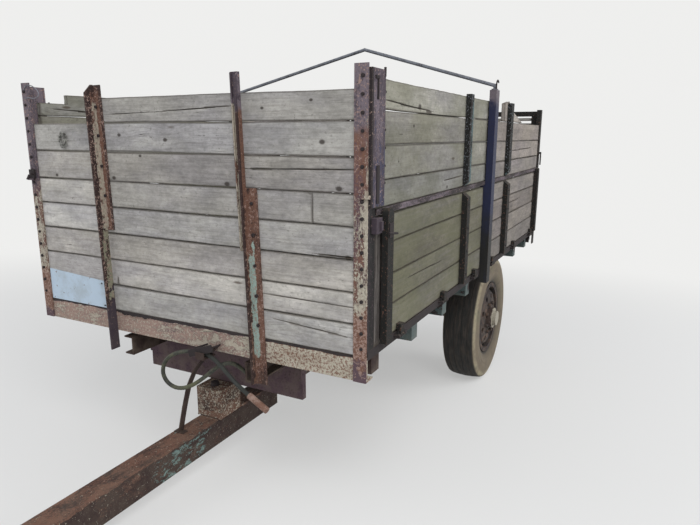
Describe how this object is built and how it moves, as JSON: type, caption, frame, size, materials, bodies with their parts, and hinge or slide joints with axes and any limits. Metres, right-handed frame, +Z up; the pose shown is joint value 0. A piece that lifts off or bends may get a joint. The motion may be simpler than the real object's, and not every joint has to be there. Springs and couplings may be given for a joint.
{
  "type": "plank-sided farm tipping trailer",
  "caption": "Worn two-wheeled farm trailer with a high plank body that tips, drop-down side gates, a hanging tailgate and a drawbar resting on the ground.",
  "frame": {"origin": "on the ground, under the middle of the whole trailer's box", "axes": "+X forward to the towing eye, +Y to the trailer's left, +Z up"},
  "size_m": [5.1662, 2.138, 2.4568],
  "materials": {
    "weathered_wood": "rough",
    "rusty_steel": "rough",
    "dark_steel": "satin",
    "chassis_steel": "rough",
    "green_steel": "rough",
    "blue_sheet": "satin",
    "tyre": "matt",
    "rim_steel": "rough",
    "hub_steel": "satin",
    "hose_rubber": "matt"
  },
  "bodies": {
    "root": {"drawbar": "rusty_steel", "drawbar_pedestal": "rusty_steel", "towing_eye": "rusty_steel", "hose_hanger": "rusty_steel", "chassis_front_crossmember": "chassis_steel", "chassis_rails": "chassis_steel", "chassis_mid_crossmember": "chassis_steel", "ram_crossmember": "chassis_steel", "axle_beam": "chassis_steel", "rear_pivot_frame": "chassis_steel", "hose": "hose_rubber", "hose_fitting": "rusty_steel", "hose_coupler": "rusty_steel"},
    "wheel_left": {"tyre_left": "tyre", "rim_left": "rim_steel", "hub_left": "hub_steel"},
    "wheel_right": {"tyre_right": "tyre", "rim_right": "rim_steel", "hub_right": "hub_steel"},
    "ram_barrel": {"ram_barrel": "chassis_steel"},
    "ram_rod": {"ram_rod": "chassis_steel"},
    "tailgate": {"tailgate_frame": "rusty_steel", "tailgate_planks": "weathered_wood", "tailgate_slats": "weathered_wood"},
    "gate_front_left": {"gate_front_left_planks": "weathered_wood", "gate_front_left_irons": "rusty_steel"},
    "gate_front_right": {"gate_front_right_planks": "weathered_wood", "gate_front_right_irons": "rusty_steel"},
    "gate_rear_left": {"gate_rear_left_planks": "weathered_wood", "gate_rear_left_irons": "rusty_steel"},
    "gate_rear_right": {"gate_rear_right_planks": "weathered_wood", "gate_rear_right_irons": "rusty_steel"},
    "bed": {"bed_cross_bearers": "green_steel", "bed_floor": "weathered_wood", "bed_runners": "green_steel", "bow": "rusty_steel", "corner_boards": "weathered_wood", "front_corner_posts": "rusty_steel", "front_planks": "weathered_wood", "front_rail": "rusty_steel", "front_uprights": "rusty_steel", "mid_posts": "dark_steel", "mid_rails": "rusty_steel", "patch_sheet": "blue_sheet", "ram_clevis": "chassis_steel", "rear_corner_posts": "rusty_steel", "rear_rail": "rusty_steel", "side_boards_left": "weathered_wood", "side_boards_right": "weathered_wood", "side_edge_rails": "rusty_steel", "side_uprights": "rusty_steel"}
  },
  "joints": [
    {"name": "wheel_left_spin", "type": "hinge", "parent": "root", "child": "wheel_left", "pos_m": [-1.26442, 0.833, 0.49], "axis": [0, 1, 0], "continuous": true},
    {"name": "wheel_right_spin", "type": "hinge", "parent": "root", "child": "wheel_right", "pos_m": [-1.26442, -0.833, 0.49], "axis": [0, 1, 0], "continuous": true},
    {"name": "bed_tip", "type": "hinge", "parent": "root", "child": "bed", "pos_m": [-2.31841, 0, 0.88737], "axis": [0, -1, 0], "range_deg": [0, 45]},
    {"name": "ram_swing", "type": "hinge", "parent": "root", "child": "ram_barrel", "pos_m": [-1.00711, 0, 0.58161], "axis": [0, -1, 0], "range_deg": [0, 67.11]},
    {"name": "ram_slide", "type": "slide", "parent": "ram_barrel", "child": "ram_rod", "axis": [0.9985, 0, 0.0556], "range_m": [0, 0.80278]},
    {"name": "tailgate_swing", "type": "hinge", "parent": "bed", "child": "tailgate", "pos_m": [-2.47289, 0, 2.21203], "axis": [0, 1, 0], "range_deg": [0, 100]},
    {"name": "gate_front_left_drop", "type": "hinge", "parent": "bed", "child": "gate_front_left", "pos_m": [0.28946, 1.04, 0.90155], "axis": [-0.9974, 0, 0.0724], "range_deg": [0, 165]},
    {"name": "gate_front_right_drop", "type": "hinge", "parent": "bed", "child": "gate_front_right", "pos_m": [0.28946, -1.04, 0.90155], "axis": [0.9974, 0, -0.0724], "range_deg": [0, 165]},
    {"name": "gate_rear_left_drop", "type": "hinge", "parent": "bed", "child": "gate_rear_left", "pos_m": [-1.50581, 1.04, 1.0319], "axis": [-0.9974, 0, 0.0724], "range_deg": [0, 165]},
    {"name": "gate_rear_right_drop", "type": "hinge", "parent": "bed", "child": "gate_rear_right", "pos_m": [-1.50581, -1.04, 1.0319], "axis": [0.9974, 0, -0.0724], "range_deg": [0, 165]}
  ],
  "couplings": [
    {"joint": "ram_swing", "follows": "bed_tip", "ratio": 1.4913},
    {"joint": "ram_slide", "follows": "bed_tip", "m_per_rad": 1.0221}
  ]
}
